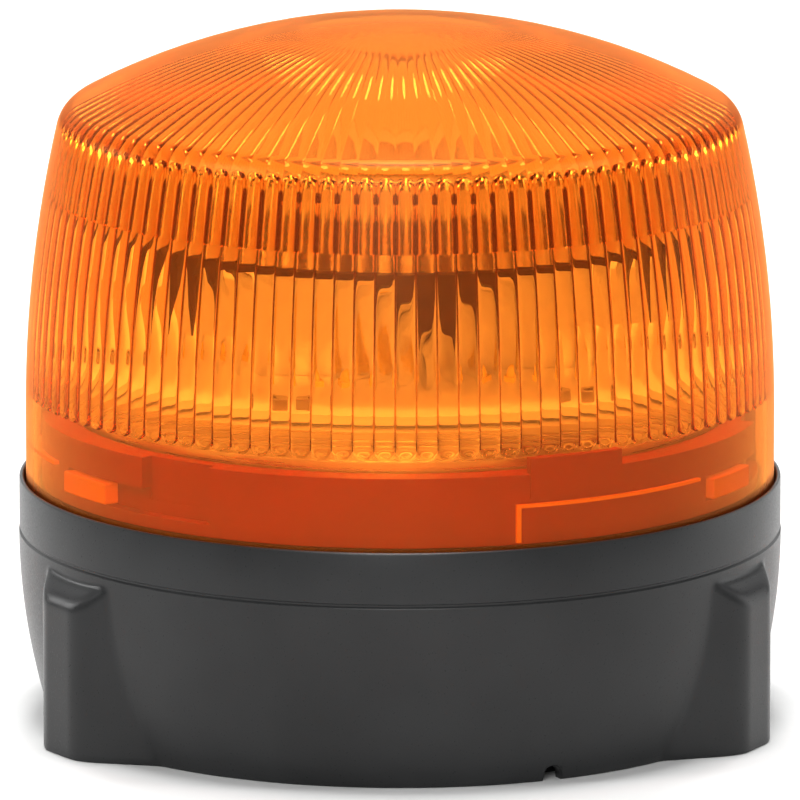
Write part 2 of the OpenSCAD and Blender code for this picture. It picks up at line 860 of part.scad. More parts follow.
// Ring seal in the collar's groove
module lens_seal() {
    color([0.1, 0.1, 0.1]) rotate_extrude() translate([seal_ring_at, seal_ring_z])
        circle(r = seal_ring_r, $fn = 32);
}

// The amber lens: a band that stands in the rim, a bowed side, a round shoulder and a shallow cap
module lens_shell() {
    outer = concat([[lens_r, lens_low_z]], dome_outline(0));
    inner = concat([[lens_in_r, lens_low_z]], dome_outline(lens_wall));
    rotate_extrude($fn = 180) polygon(concat(outer, reversed(inner)));
}

module lens_dome() {
    rib_in = lens_in_r - ledge_rib_t;
    color([1, 0.52, 0.05, 0.6]) union() {
        lens_shell();
        for (i = [0 : lug_count - 1]) rotate([0, 0, 360 * i / lug_count]) {
            ring_part(tab_in_r, lens_in_r + lens_wall / 2, tab_z, tab_z + tab_h,
                tab_turn - tab_half, tab_turn + tab_half);
            ring_part(rib_in, lens_in_r + lens_wall / 2, ledge_rib_z, ledge_rib_z + ledge_rib_h,
                ledge_rib_turn, ledge_rib_turn + ledge_rib_span);
            ring_part(rib_in, lens_in_r + lens_wall / 2, ledge_rib_low_z, ledge_rib_z + ledge_rib_h,
                ledge_rib_turn, ledge_rib_turn + ledge_rib_end);
        }
    }
}

base_housing();
threaded_inserts();
mounting_gasket();
bottom_cover();
cover_seal();
cover_screws();
bayonet_ring();
ring_screws();
cable_grommet();
vent_plug();
driver_board();
board_spacers();
driver_screws();
inductor_core();
inductor_winding();
capacitors();
power_transistors();
controller_chip();
terminal_block();
terminal_screws();
selector_body();
selector_rotor();
heat_sink();
heat_sink_screws();
thermal_pad();
led_board();
led_emitters();
board_screws();
reflector();
reflector_cap();
reflector_screws();
lead_header();
lead_plug();
lamp_connector();
lead_red();
lead_black();
lens_seal();
lens_dome();
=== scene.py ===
"""Looks of the low amber warning beacon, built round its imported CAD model.

Sizes are in millimetres and follow the CAD source's values; add_mesh() turns them into metres.
A turn is an angle from the front (-Y) towards +X, in degrees.
"""

import json
import math

import bmesh
import bpy
import numpy as np
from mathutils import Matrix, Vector
from mathutils.geometry import tessellate_polygon


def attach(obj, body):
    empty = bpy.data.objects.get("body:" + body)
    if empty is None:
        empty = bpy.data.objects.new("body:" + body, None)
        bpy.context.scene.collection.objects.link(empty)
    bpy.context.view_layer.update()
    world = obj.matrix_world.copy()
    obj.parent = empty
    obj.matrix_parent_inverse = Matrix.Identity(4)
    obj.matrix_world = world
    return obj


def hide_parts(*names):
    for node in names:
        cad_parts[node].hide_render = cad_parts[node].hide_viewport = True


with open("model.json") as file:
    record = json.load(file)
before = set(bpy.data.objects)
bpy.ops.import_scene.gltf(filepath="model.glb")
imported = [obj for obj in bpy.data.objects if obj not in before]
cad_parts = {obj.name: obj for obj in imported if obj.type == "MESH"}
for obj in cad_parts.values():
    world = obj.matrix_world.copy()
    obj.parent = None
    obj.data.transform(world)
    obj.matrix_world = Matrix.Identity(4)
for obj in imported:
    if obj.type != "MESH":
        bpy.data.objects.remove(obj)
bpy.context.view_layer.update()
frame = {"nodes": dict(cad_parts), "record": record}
MM = 0.001

# ---- sizes, in millimetres ----

# The skirt bulges on a large arc. Its foot has a rounded edge.
SKIRT_R = 72.5
SKIRT_ARC_R = 118.0
SKIRT_WALL = 2.5
FOOT_EDGE = 0.5
PARTING_Z = 35.6
OUTSIDE_ROWS = np.concatenate([[0.15, FOOT_EDGE], np.arange(1.5, 22, 1.5), np.arange(22, 35.2, 0.6)])
INSIDE_ROWS = (39.0, 30.0, 20.0, 10.0, 3.0)
COLUMN_TURN = 1.5
FINE_COLUMN_TURN = 0.5

# The rim's outline as (radius, height): parting groove, rounded edge, then the lip round the lens.
RIM_Z = 45.8
LIP_R = 71.5
RIM_OUTLINE = (
    (SKIRT_R, 35.25), (72.12, PARTING_Z), (72.12, 35.95), (72.4, 36.15),
    (72.4, 45.35), (72.31, 45.62), (72.1, RIM_Z), (71.8, RIM_Z), (71.58, 45.66), (LIP_R, 45.4),
    (LIP_R, 41.8), (70.2, 41.0),
)
GROOVE_FLOOR_Z = 42.0
DECK_R = 71.45
DECK_Z = 39.5

# The lugs, with flat faces, flanks and sloping tops. The three sectors are half widths, in degrees.
LUG_TURNS = (60, 180, 300)
LUG_R = 76.0
LUG_HALF_W = 6.6
LUG_CORNER = 3.0
LUG_FLANK = math.radians(45)
LUG_Z = 29.5
LUG_SECTOR = 18
LUG_FINE_SECTOR = 21
LUG_BLEND_SECTOR = 30
LUG_ROUNDING = 1.8
LUG_FILLET = 0.5
BOLT_R = 65.0
INSERT_R = 4.25
INSERT_LEN = 14.2
INSERT_SIDES = 40

# The drain notch is measured across the skirt's foot, at this radius.
DRAIN_AT_R = 67
DRAIN_TURN = 22.5
DRAIN_CLEAR_TURN = 2.5
DRAIN_W = 3.8
DRAIN_H = 2.7

# Columns over the notch, as shares of its half width: its arch, and one just outside on each side.
DRAIN_COLUMNS = np.array([-1.02, *np.sin(np.radians(np.arange(-90, 91, 15))), 1.02])

# Inside the skirt. Forms that join overlap a little.
OVERLAP = 0.1
CHAMBER_R = 58.0
CHAMBER_OUT_R = 60.5
CHAMBER_Z = 3.0
COVER_LIP_R = 54.8
COVER_LIP_LOW = 12.0
COVER_LIP_HIGH = 14.0
RIB_TURNS = (30, 50, 70, 90)
RIB_HALF_TURN = 0.72
RIB_R = (CHAMBER_OUT_R - 2 * OVERLAP, 66.5)
RIB_Z = (6.0, DECK_Z + 2 * OVERLAP)
BOSS_TURNS = range(90, 450, 60)
BOSS_AT = 50.8
BOSS_R = 3.6
BOSS_BORE_R = 1.45
BOSS_Z = (12.5, 26.5)

LENS_R = 71.1
LENS_WALL = 2.0
LENS_LOW_Z = 42.3
LENS_FOOT_ROWS = (LENS_LOW_Z, 50)
LENS_TOP_Z = 133.0
LENS_SIDE_Z = 58.0
SIDE_ARC_R = 247.5
SHOULDER_R = 7.0
CAP_SPHERE_R = 130.0
TAB_TURNS = (54, 66)
TAB_R = (66.2, 69.3)
TAB_Z = (48.7, 52.7)
TAB_BEVEL = 0.4
LEDGE_RIB_TURNS = (15.5, 50.5)
LEDGE_RIB_R = (68.35, 69.3)
LEDGE_RIB_Z = (53.0, 53.6)
LEDGE_RIB_END = 16.2
LEDGE_RIB_LOW_Z = 46.5
LEDGE_RIB_BEVEL = 0.15

# Flutes inside the lens: flat pads with round ends below a step, half-round beads above it, and
# rays over the cap.
FLUTES = 112
FLUTE_COLUMNS = 12
FLUTE_END_TURNS = (0, 25, 45, 60, 72, 82, 90)
FLUTE_END_Z = 64.5
FLUTE_END_H = 1.9
FLUTE_STEP_Z = 100.4
FLUTE_STEP_ROWS = (-0.12, -0.02, 0.02, 0.12)
PAD_ROWS = 8
BEAD_ROWS = 6
PAD_H = 0.3
PAD_CROWN = 0.22
BEAD_H = 1.5
BEAD_END_Z = 111.6
BEAD_END_H = 2.4
RAY_H = 0.14
RAY_FADE_R = (19.0, 34.0)

# Rows over the shoulder and over the cap, and up the outer side.
INNER_STEPS = (18, 16)
OUTER_STEPS = (10, 15)
OUTER_SIDE_ROWS = 14
OUTER_COLUMNS = 224

REFLECTOR_R = 50.0
REFLECTOR_Z = (68.7, 94.0)
REFLECTOR_EDGE = 0.4
# How far in from the reflector's outer face its dark, non-metallic band reaches.
OUTER_FACE_DEPTH = 0.6
PLATE_Z = 92.5
HUB_HOLLOW_R = 12.0
LED_Z = 69.8
SCOOPS = 6
SCOOP_AT = 50.0
SCOOP_SIZE = (26.0, 26.5, 24.5)
SCOOP_TURN = 35.5
SCOOP_HALF_TURN = 180 / SCOOPS
BOWL_COLUMNS = 24
BOWL_ROWS = 28
SPANDREL_COLUMNS = 4

# ---- camera ----

SENSOR_WIDTH = 36
DISTANCE = 2.2
VIEW_WIDTH = 0.152
AZIMUTH = math.radians(-2.5)
ELEVATION = math.radians(11.8)
AIM = Vector((0, 0, 0.0596))


def direction(azimuth, elevation):
    """Unit vector from the object to a viewer, at an azimuth from the front towards +X."""
    level = math.cos(elevation)
    return Vector((level * math.sin(azimuth), -level * math.cos(azimuth), math.sin(elevation)))


def aim_object(obj, place, target):
    obj.location = place
    obj.rotation_euler = (target - place).to_track_quat("-Z", "Y").to_euler()
    bpy.context.scene.collection.objects.link(obj)


def add_camera():
    data = bpy.data.cameras.new("camera")
    data.sensor_width = SENSOR_WIDTH
    data.lens = SENSOR_WIDTH * DISTANCE / VIEW_WIDTH
    data.clip_end = 50
    camera = bpy.data.objects.new("camera", data)
    aim_object(camera, AIM + DISTANCE * direction(AZIMUTH, ELEVATION), AIM)
    bpy.context.scene.camera = camera


# ---- mesh helpers ----


def polar(radius, turn):
    """X and Y of a point at a radius and a turn in degrees."""
    angle = np.radians(turn)
    return radius * np.sin(angle), -radius * np.cos(angle)


def add_mesh(name, points, faces, smooth_angle=30):
    """A new object from points in millimetres: doubled points merged, edges past an angle kept sharp."""
    mesh = bpy.data.meshes.new(name)
    mesh.from_pydata((np.asarray(points, float) * MM).tolist(), [], faces)
    work = bmesh.new()
    work.from_mesh(mesh)
    bmesh.ops.remove_doubles(work, verts=work.verts, dist=1e-7)
    bmesh.ops.recalc_face_normals(work, faces=work.faces)
    work.to_mesh(mesh)
    work.free()
    mesh.shade_smooth()
    mesh.set_sharp_from_angle(angle=math.radians(smooth_angle))
    obj = bpy.data.objects.new(name, mesh)
    bpy.context.scene.collection.objects.link(obj)
    return obj


def grid_faces(rows, columns, closed, first=0):
    """Faces between neighbouring rows of points; closed joins the last column to the first."""
    faces = []
    for i in range(rows - 1):
        low, high = first + i * columns, first + (i + 1) * columns
        for j in range(columns if closed else columns - 1):
            k = (j + 1) % columns
            faces.append((low + j, low + k, high + k, high + j))
    return faces


def section(radii, heights):
    """Corners (radius, height) of a rectangular section, in order round it."""
    (inner, outer), (low, high) = radii, heights
    return [(inner, low), (outer, low), (outer, high), (inner, high)]


class Shell:
    """Points and faces of one mesh, gathered from several closed forms."""

    def __init__(self):
        self.points = []
        self.faces = []

    def add(self, points, faces):
        first = len(self.points)
        self.points.extend(np.asarray(points, float).tolist())
        self.faces.extend(tuple(first + i for i in face) for face in faces)

    def revolve(self, outline, steps=180):
        """A closed outline of (radius, height) turned right round."""
        turns = np.arange(steps) * 360 / steps
        rows = [np.column_stack([*polar(r, turns), np.full(steps, z)]) for r, z in [*outline, outline[0]]]
        self.add(np.vstack(rows), grid_faces(len(rows), steps, True))

    def wedge(self, radii, heights, turns):
        """Part of a ring between two radii, two heights and two turns."""
        steps = max(2, round((turns[1] - turns[0]) / 2))
        corners = section(radii, heights)
        swept = []
        for turn in np.linspace(turns[0], turns[1], steps + 1):
            swept.extend((*polar(r, turn), z) for r, z in corners)
        faces = grid_faces(steps + 1, 4, True)
        self.add(swept, [*faces, (0, 1, 2, 3), tuple(4 * steps + i for i in (3, 2, 1, 0))])

    def tube(self, centre, radii, heights, steps=32):
        """A round tube standing on its end."""
        turns = np.arange(steps) * 360 / steps
        loop = section(radii, heights)
        rows = []
        for r, z in [*loop, loop[0]]:
            x, y = polar(r, turns)
            rows.append(np.column_stack([x + centre[0], y + centre[1], np.full(steps, z)]))
        self.add(np.vstack(rows), grid_faces(len(rows), steps, True))

    def build(self, name):
        return add_mesh(name, self.points, self.faces)


def bevel(obj, width):
    modifier = obj.modifiers.new("bevel", "BEVEL")
    modifier.width = width * MM
    modifier.segments = 2
    modifier.limit_method = "ANGLE"
    modifier.angle_limit = math.radians(40)
    modifier.harden_normals = True


# ---- the lens ----


def arc(centre, radius, start, stop, steps):
    """Points (radius, height) along an arc, between two headings in radians."""
    angle = np.linspace(start, stop, steps + 1)
    return np.column_stack([centre[0] + radius * np.cos(angle), centre[1] + radius * np.sin(angle)])


class DomeOutline:
    """The dome's outline: a bowed side, a round shoulder that touches side and cap, and a shallow cap."""

    def __init__(self):
        self.side_centre = np.array([LENS_R - SIDE_ARC_R, LENS_SIDE_Z])
        self.cap_centre = np.array([0, LENS_TOP_Z - CAP_SPHERE_R])
        gap = self.cap_centre - self.side_centre
        length = np.hypot(*gap)
        to_side, to_cap = SIDE_ARC_R - SHOULDER_R, CAP_SPHERE_R - SHOULDER_R
        corner = math.acos((to_side**2 + length**2 - to_cap**2) / (2 * to_side * length))
        self.side_end = math.atan2(gap[1], gap[0]) + corner
        self.shoulder_centre = self.side_centre + to_side * np.array(
            [math.cos(self.side_end), math.sin(self.side_end)]
        )
        out = self.shoulder_centre - self.cap_centre
        self.cap_start = math.atan2(out[1], out[0])

    def side(self, inward, heights):
        """Points up the side at given heights."""
        heights = np.asarray(heights, float)
        rise = np.maximum(heights - LENS_SIDE_Z, 0)
        radius = self.side_centre[0] + np.sqrt((SIDE_ARC_R - inward) ** 2 - rise**2)
        return np.column_stack([radius, heights])

    def side_top(self, inward):
        return self.side_centre[1] + (SIDE_ARC_R - inward) * math.sin(self.side_end)

    def over(self, inward, shoulder_steps, cap_steps):
        """Points from the side's top over the shoulder and the cap, up to just short of the axis."""
        bend, crown = SHOULDER_R - inward, CAP_SPHERE_R - inward
        shoulder = arc(self.shoulder_centre, bend, self.side_end, self.cap_start, shoulder_steps)
        cap = arc(self.cap_centre, crown, self.cap_start, math.pi / 2, cap_steps)
        return np.vstack([shoulder, cap[1:-1]])


def flute_height(across, radius, height):
    """How far each flute stands in from the wall, across from -1 to 1 over its width."""
    if height < FLUTE_STEP_Z:
        below = max(0.0, (FLUTE_END_Z - height) / FLUTE_END_H)
        reach = np.minimum(across**2 + below**2, 1)
        return PAD_CROWN * (1 - reach) + PAD_H * (1 - reach**4)
    above = max(0.0, (height - BEAD_END_Z) / BEAD_END_H)
    bead = BEAD_H * np.sqrt(np.maximum(0, 1 - across**2 - above**2))
    low, high = RAY_FADE_R
    fade = min(1.0, max(0.0, (radius - low) / (high - low)))
    return np.maximum(bead, RAY_H * fade * radius / LENS_R * (1 - across**2))


def lens_mesh():
    """The dome as one closed form: smooth outside, upright flutes inside."""
    outline = DomeOutline()
    angle = np.pi * np.arange(FLUTE_COLUMNS) / FLUTE_COLUMNS
    across = np.tile(-np.cos(angle), FLUTES)
    turns = (np.repeat(np.arange(FLUTES), FLUTE_COLUMNS) + (1 + across) / 2) * 360 / FLUTES
    columns = len(turns)
    rounding = np.sin(np.radians(FLUTE_END_TURNS))
    ends = FLUTE_END_Z - FLUTE_END_H * rounding[::-1]
    lower = np.linspace(FLUTE_END_Z, FLUTE_STEP_Z, PAD_ROWS)[1:-1]
    step = FLUTE_STEP_Z + np.array(FLUTE_STEP_ROWS)
    upper = np.linspace(FLUTE_STEP_Z, BEAD_END_Z, BEAD_ROWS)[1:]
    side = outline.side(LENS_WALL, np.concatenate([LENS_FOOT_ROWS, ends, lower, step, upper]))
    inner = np.vstack([side, outline.over(LENS_WALL, *INNER_STEPS)])
    along = np.gradient(inner, axis=0)
    inward = np.column_stack([-along[:, 1], along[:, 0]]) / np.hypot(along[:, 0], along[:, 1])[:, None]
    rows = []
    for (r, z), (lean_r, lean_z) in zip(inner, inward):
        depth = flute_height(across, r, z)
        x, y = polar(r + depth * lean_r, turns)
        rows.append(np.column_stack([x, y, z + depth * lean_z]))
    faces = grid_faces(len(rows), columns, True)
    peak = (len(rows) - 1) * columns
    centre = len(rows) * columns
    faces.extend((peak + j, peak + (j + 1) % columns, centre) for j in range(columns))
    rows.append([[0, 0, LENS_TOP_Z - LENS_WALL]])
    first = centre + 1
    upper = np.linspace(LENS_SIDE_Z, outline.side_top(0), OUTER_SIDE_ROWS)[:-1]
    side = outline.side(0, np.concatenate([LENS_FOOT_ROWS, upper]))
    outer = np.vstack([side, outline.over(0, *OUTER_STEPS)])
    outer_turns = np.arange(OUTER_COLUMNS) * 360 / OUTER_COLUMNS
    for r, z in outer:
        x, y = polar(r, outer_turns)
        rows.append(np.column_stack([x, y, np.full(OUTER_COLUMNS, z)]))
    faces.extend(grid_faces(len(outer), OUTER_COLUMNS, True, first))
    last = first + (len(outer) - 1) * OUTER_COLUMNS
    top = first + len(outer) * OUTER_COLUMNS
    faces.extend((last + (j + 1) % OUTER_COLUMNS, last + j, top) for j in range(OUTER_COLUMNS))
    rows.append([[0, 0, LENS_TOP_Z]])
    ratio = columns // OUTER_COLUMNS
    for j in range(OUTER_COLUMNS):
        inside = [(j * ratio + i) % columns for i in range(ratio + 1)]
        faces.append((*inside, first + (j + 1) % OUTER_COLUMNS, first + j))
    return add_mesh("lens_shell", np.vstack(rows), faces, smooth_angle=32)


def lens_parts():
    """The lens's shell, its bayonet tabs and the thin ribs that lead into them."""
    shell = lens_mesh()
    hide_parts("lens_dome")
    tabs, ribs = Shell(), Shell()
    for turn in (0, 120, 240):
        start, stop = LEDGE_RIB_TURNS[0] + turn, LEDGE_RIB_TURNS[1] + turn
        tabs.wedge(TAB_R, TAB_Z, (TAB_TURNS[0] + turn, TAB_TURNS[1] + turn))
        ribs.wedge(LEDGE_RIB_R, LEDGE_RIB_Z, (start, stop))
        ribs.wedge(LEDGE_RIB_R, (LEDGE_RIB_LOW_Z, LEDGE_RIB_Z[0]), (start, LEDGE_RIB_END + turn))
    tab_piece = tabs.build("lens_tabs")
    bevel(tab_piece, TAB_BEVEL)
    rib_piece = ribs.build("lens_ledges")
    bevel(rib_piece, LEDGE_RIB_BEVEL)
    return shell, tab_piece, rib_piece


# ---- the base ----


def soft_min(a, b, width):
    """The lower of two values, blended over a width where they meet."""
    h = np.clip(0.5 + 0.5 * (b - a) / width, 0, 1)
    return b + (a - b) * h - width * h * (1 - h)


def soft_max(a, b, width):
    return -soft_min(-a, -b, width)


def lug_delta(turns):
    """Degrees from the nearest lug's middle."""
    return np.min([np.abs((turns - lug + 180) % 360 - 180) for lug in LUG_TURNS], axis=0)


def skirt_radius(z):
    return SKIRT_R - SKIRT_ARC_R + np.sqrt(SKIRT_ARC_R**2 - (PARTING_Z - z) ** 2)


def lug_radius(delta, z):
    """Radius of a lug's surface, by degrees from its middle: flat face, straight flanks and sloping top."""
    angle = np.radians(delta)
    splay = math.tan(LUG_FLANK)
    flank = (LUG_HALF_W + LUG_R * splay) / (np.sin(angle) + np.cos(angle) * splay)
    plan = soft_min(LUG_R / np.cos(angle), flank, LUG_CORNER)
    top = (LUG_R + LUG_Z - z) / np.cos(angle)
    return soft_min(plan, top, LUG_ROUNDING)


def outer_radius(turns, z):
    """Radius of the skirt with its lugs."""
    delta = lug_delta(turns)
    skirt = skirt_radius(z)
    lug = lug_radius(np.minimum(delta, LUG_BLEND_SECTOR), z)
    return np.where(delta < LUG_BLEND_SECTOR, soft_max(skirt, lug, LUG_FILLET), skirt)


def base_turns():
    """Turns of the skirt's columns, closer together at the lugs and at the drain notch."""
    coarse = np.arange(0, 360, COLUMN_TURN)
    plain = (lug_delta(coarse) > LUG_FINE_SECTOR) & (np.abs(coarse - DRAIN_TURN) > DRAIN_CLEAR_TURN)
    fine = np.arange(-LUG_FINE_SECTOR, LUG_FINE_SECTOR + FINE_COLUMN_TURN / 2, FINE_COLUMN_TURN)
    half = math.degrees(DRAIN_W / 2 / DRAIN_AT_R)
    turns = [coarse[plain], *(lug + fine for lug in LUG_TURNS), DRAIN_TURN + half * DRAIN_COLUMNS]
    return np.unique(np.round(np.concatenate(turns) % 360, 4))


def drain_height(turns):
    """Height of the skirt's foot: nothing, except in the drain notch's arch."""
    across = DRAIN_AT_R * np.radians(np.abs(turns - DRAIN_TURN))
    radius = DRAIN_W / 2
    arch = DRAIN_H - radius + np.sqrt(np.maximum(radius**2 - across**2, 0))
    return np.where(across <= radius * 1.001, arch, 0.0)


def housing_skin(shell):
    """Skirt, lugs and rim as one closed form, up the outside, over the rim and down the inside."""
    turns = base_turns()
    columns = len(turns)
    foot = drain_height(turns)
    in_lug = lug_delta(turns) < LUG_SECTOR
    rows = []

    def row(radius, z):
        x, y = polar(np.broadcast_to(radius, (columns,)), turns)
        rows.append(np.column_stack([x, y, np.broadcast_to(z, (columns,))]))

    def inside_row(z):
        row(np.where(in_lug, CHAMBER_OUT_R - OVERLAP, skirt_radius(z) - SKIRT_WALL), np.maximum(z, foot))

    row(outer_radius(turns, 0) - FOOT_EDGE, foot)
    for z in OUTSIDE_ROWS:
        ease = FOOT_EDGE - math.sqrt(FOOT_EDGE**2 - max(0.0, FOOT_EDGE - z) ** 2)
        row(outer_radius(turns, z) - ease, np.maximum(z, foot + min(z, FOOT_EDGE)))
    for radius, z in RIM_OUTLINE:
        row(radius, z)
    for z in INSIDE_ROWS:
        inside_row(z)
    inside_row(0)
    faces = grid_faces(len(rows), columns, True)
    last = (len(rows) - 1) * columns
    for j in range(columns):
        k = (j + 1) % columns
        if not (in_lug[j] and in_lug[k]):
            faces.append((last + j, last + k, k, j))
    points = np.vstack(rows)
    extra = []
    for lug in LUG_TURNS:
        beside = (turns - lug + 180) % 360
        sector = [j for j in range(columns) if in_lug[j] and abs(beside[j] - 180) < LUG_BLEND_SECTOR]
        sector.sort(key=lambda j: beside[j])
        loop = sector + [last + j for j in reversed(sector)]
        centre = polar(BOLT_R, lug)
        ring = [centre + INSERT_R * np.array(polar(1, 360 * i / INSERT_SIDES)) for i in range(INSERT_SIDES)]
        first = len(points) + len(extra)
        extra.extend((x, y, 0.0) for x, y in ring)
        extra.extend((x, y, INSERT_LEN) for x, y in ring)
        hole = [first + i for i in range(INSERT_SIDES)]
        outline = [Vector(points[i][:2].tolist() + [0]) for i in loop]
        inside = [Vector((x, y, 0)) for x, y in ring]
        names = loop + hole
        faces.extend(tuple(names[i] for i in face) for face in tessellate_polygon([outline, inside]))
        faces.extend(grid_faces(2, INSERT_SIDES, True, first))
        faces.append(tuple(i + INSERT_SIDES for i in hole))
    shell.add(np.vstack([points, extra]), faces)


def housing_mesh():
    """The base: its skin, the chamber's wall and deck, ribs between them and the cover's screw bosses."""
    shell = Shell()
    housing_skin(shell)
    shell.revolve([
        (CHAMBER_R, CHAMBER_Z), (CHAMBER_OUT_R, CHAMBER_Z), (CHAMBER_OUT_R, DECK_Z), (DECK_R, DECK_Z),
        (DECK_R, GROOVE_FLOOR_Z), (CHAMBER_R, GROOVE_FLOOR_Z), (CHAMBER_R, COVER_LIP_HIGH),
        (COVER_LIP_R, COVER_LIP_HIGH), (COVER_LIP_R, COVER_LIP_LOW), (CHAMBER_R, COVER_LIP_LOW),
    ])
    for lug in LUG_TURNS:
        for turn in RIB_TURNS:
            middle = lug + turn
            shell.wedge(RIB_R, RIB_Z, (middle - RIB_HALF_TURN, middle + RIB_HALF_TURN))
    for turn in BOSS_TURNS:
        shell.tube(polar(BOSS_AT, turn), (BOSS_BORE_R, BOSS_R), BOSS_Z)
    return shell.build("housing_shell")


# ---- the reflector ----


def scoop_radius(delta, height):
    """Radius at which a scoop's bowl starts, by degrees from its middle and height over its axis."""
    angle = np.radians(delta)
    deep, wide, high = SCOOP_SIZE
    a = (np.cos(angle) / deep) ** 2 + (np.sin(angle) / wide) ** 2
    b = SCOOP_AT * np.cos(angle) / deep**2
    c = (SCOOP_AT / deep) ** 2 + (height / high) ** 2 - 1
    inside = b**2 - a * c
    radius = (b - np.sqrt(np.maximum(inside, 0))) / a
    return np.where(inside > 0, np.minimum(radius, REFLECTOR_R), REFLECTOR_R)


def scoop_edge(height):
    """Degrees from a scoop's middle to its bowl's edge at the outer face, at most halfway to the next."""
    fine = np.linspace(0.01, SCOOP_HALF_TURN, 3000)
    cut = scoop_radius(fine, height) < REFLECTOR_R
    return fine[cut].max() if cut.any() else fine[0]


def reflector_mesh():
    """Six scoops side by side under a plate, as one closed form turned round the hub's hollow."""
    bowl = np.sin(np.linspace(0, math.pi / 2, BOWL_COLUMNS + 1))
    rows = []

    def row(radii_of, z):
        edge = scoop_edge(z - LED_Z)
        right = np.concatenate([edge * bowl, np.linspace(edge, SCOOP_HALF_TURN, SPANDREL_COLUMNS)[1:]])
        half = radii_of(right)
        delta = np.concatenate([-right[::-1][:-1], right])[:-1]
        radius = np.concatenate([half[::-1][:-1], half])[:-1]
        turns = np.concatenate([delta + SCOOP_TURN + 2 * SCOOP_HALF_TURN * k for k in range(SCOOPS)])
        x, y = polar(np.tile(radius, SCOOPS), turns)
        rows.append(np.column_stack([x, y, np.full(len(turns), z)]))

    def round_row(radius, z):
        row(lambda delta: np.full(len(delta), radius), z)

    low, high = REFLECTOR_Z
    round_row(HUB_HOLLOW_R, low)
    for z in np.linspace(low, PLATE_Z, BOWL_ROWS):
        row(lambda delta, z=z: scoop_radius(delta, z - LED_Z), z)
    round_row(REFLECTOR_R, PLATE_Z)
    round_row(REFLECTOR_R, high - REFLECTOR_EDGE)
    round_row(REFLECTOR_R - REFLECTOR_EDGE, high)
    round_row(HUB_HOLLOW_R, high)
    round_row(HUB_HOLLOW_R, low)
    faces = grid_faces(len(rows), len(rows[0]), True)
    return add_mesh("reflector_shell", np.vstack(rows), faces, smooth_angle=35)


# ---- materials ----

NOISE_RANGE = (0.3, 0.7)
AMBER_IOR = 1.5
AMBER_SHEEN = (1.0, 0.38, 0.13, 1)
AMBER_SHEEN_ROUGHNESS = 0.34
PALE_AMBER = (1.0, 0.9, 0.75, 1)


def wire(tree, kind, inputs=None, **settings):
    """A new node with its settings and inputs. An input is a number, a colour or another node's output."""
    made = tree.nodes.new("ShaderNode" + kind)
    for key, value in settings.items():
        setattr(made, key, value)
    for key, value in (inputs or {}).items():
        if isinstance(value, bpy.types.NodeSocket):
            tree.links.new(value, made.inputs[key])
        else:
            made.inputs[key].default_value = value
    return made


def blank(name):
    material = bpy.data.materials.new(name)
    material.use_nodes = True
    material.node_tree.nodes.clear()
    return material, material.node_tree


def noise(tree, scale, detail=3.0, stretch=(1, 1, 1)):
    """Noise in the object's own space, at a scale in cells per metre."""
    place = wire(tree, "TexCoord").outputs["Object"]
    if stretch != (1, 1, 1):
        place = wire(tree, "Mapping", {"Vector": place, "Scale": stretch}).outputs["Vector"]
    return wire(tree, "TexNoise", {"Vector": place, "Scale": scale, "Detail": detail}).outputs["Fac"]


def swing(tree, factor, low, high):
    """A value that follows a noise between two limits."""
    start, stop = NOISE_RANGE
    inputs = {"Value": factor, "From Min": start, "From Max": stop, "To Min": low, "To Max": high}
    return wire(tree, "MapRange", inputs).outputs["Result"]


def tint(tree, factor, dark, light):
    """A colour that follows a noise between two colours."""
    ramp = wire(tree, "ValToRGB", {"Fac": factor})
    for element, position, colour in zip(ramp.color_ramp.elements, NOISE_RANGE, (dark, light)):
        element.position = position
        element.color = (*colour, 1)
    return ramp.outputs["Color"]


def output(tree, shader, volume=None):
    links = {"Surface": shader}
    if volume is not None:
        links["Volume"] = volume
    wire(tree, "OutputMaterial", links)


def finish(
    name, colour, roughness, shade=0.1, patch=60.0, grain=1500.0, depth=0.01, rough_swing=0.06,
    stretch=(1, 1, 1), **sockets,
):
    """A solid material: its colour drifts in patches, and a fine grain drives its roughness and bump."""
    material, tree = blank(name)
    patches = noise(tree, patch, 4.0)
    grains = noise(tree, grain, 2.0, stretch)
    dark = tuple(c * (1 - shade) for c in colour)
    light = tuple(min(1.0, c * (1 + shade)) for c in colour)
    smooth, rough = max(0.02, roughness - rough_swing), min(1.0, roughness + rough_swing)
    relief = wire(tree, "Bump", {"Height": grains, "Distance": depth * MM, "Strength": 1.0})
    inputs = {
        "Base Color": tint(tree, patches, dark, light),
        "Roughness": swing(tree, grains, smooth, rough),
        "Normal": relief.outputs["Normal"],
    }
    inputs.update({key.replace("_", " "): value for key, value in sockets.items()})
    output(tree, wire(tree, "BsdfPrincipled", inputs).outputs["BSDF"])
    return material


